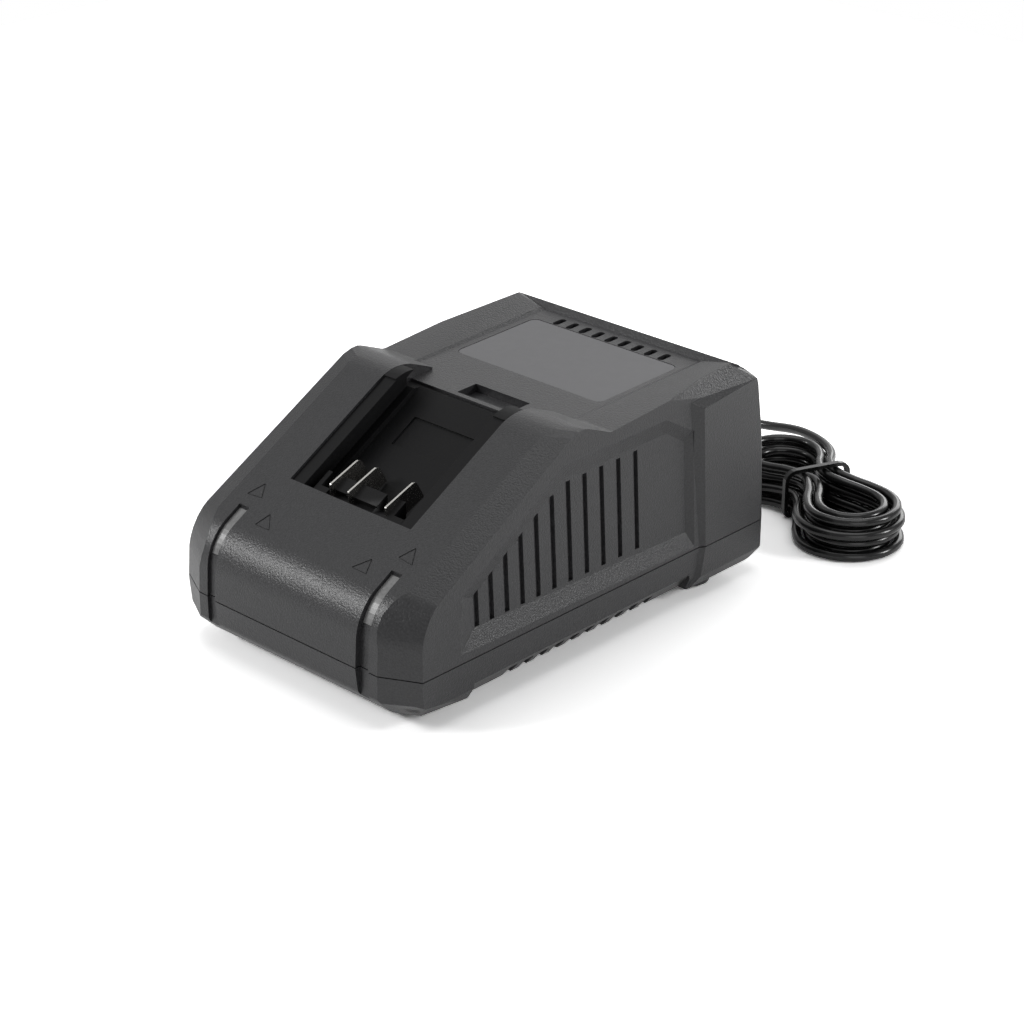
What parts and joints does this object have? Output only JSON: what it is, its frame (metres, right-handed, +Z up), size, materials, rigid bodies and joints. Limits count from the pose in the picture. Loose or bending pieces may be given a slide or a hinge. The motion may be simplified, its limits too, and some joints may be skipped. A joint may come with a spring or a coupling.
{
  "type": "power tool battery charger",
  "caption": "Charger for a slide-on power tool battery, with a sloping bay, contact blades, light pipes, grooved sides, vents, rubber feet and a tied mains lead.",
  "frame": {"origin": "on the table under the middle of the housing, midway between its sides and between its front and back", "axes": "+Y from the low front of the housing to its back, where the lead leaves; +Z up; +X to the right seen from the front"},
  "size_m": [0.1784, 0.2864, 0.0878],
  "materials": {
    "housing": "fine moulded grain",
    "inner_plastic": "smooth matte",
    "plated_metal": "nickel plate",
    "light_pipe": "clear frosted",
    "label": "smooth satin",
    "foot_rubber": "matte",
    "screw_steel": "zinc plate",
    "board": "solder mask",
    "ferrite": "ground ferrite",
    "winding": "enamelled wire",
    "capacitor_can": "sleeved can",
    "capacitor_box": "moulded box",
    "fuse_glass": "clear tube",
    "heat_sink": "extruded",
    "package": "moulded package",
    "lamp": "clear lens",
    "wire": "insulated wire",
    "clamp_plastic": "natural nylon",
    "cord": "glossy flexible sheath",
    "tie": "soft band",
    "plug": "moulded plug"
  },
  "bodies": {
    "root": {"upper_housing": "housing", "base_housing": "housing", "battery_cradle": "inner_plastic", "terminal_block": "inner_plastic", "contact_blades": "plated_metal", "light_pipe_left": "light_pipe", "light_pipe_right": "light_pipe", "label_plate": "label", "rubber_feet": "foot_rubber", "housing_screws": "screw_steel", "circuit_board": "board", "board_screws": "screw_steel", "transformer_core": "ferrite", "transformer_winding": "winding", "bulk_capacitor": "capacitor_can", "output_capacitor": "capacitor_can", "filter_capacitor": "capacitor_box", "mains_choke": "winding", "mains_fuse": "fuse_glass", "heat_sink": "heat_sink", "power_transistor": "package", "output_rectifier": "package", "status_leds": "lamp", "blade_wires": "wire", "mains_sheath": "cord", "mains_wires": "wire", "cord_clamp": "clamp_plastic", "clamp_screws": "screw_steel", "strain_relief": "cord", "cord_lead": "cord", "cord_hank": "cord", "cord_tie": "tie", "cord_tail": "cord", "plug_body": "plug", "plug_pins": "plated_metal"}
  },
  "joints": []
}
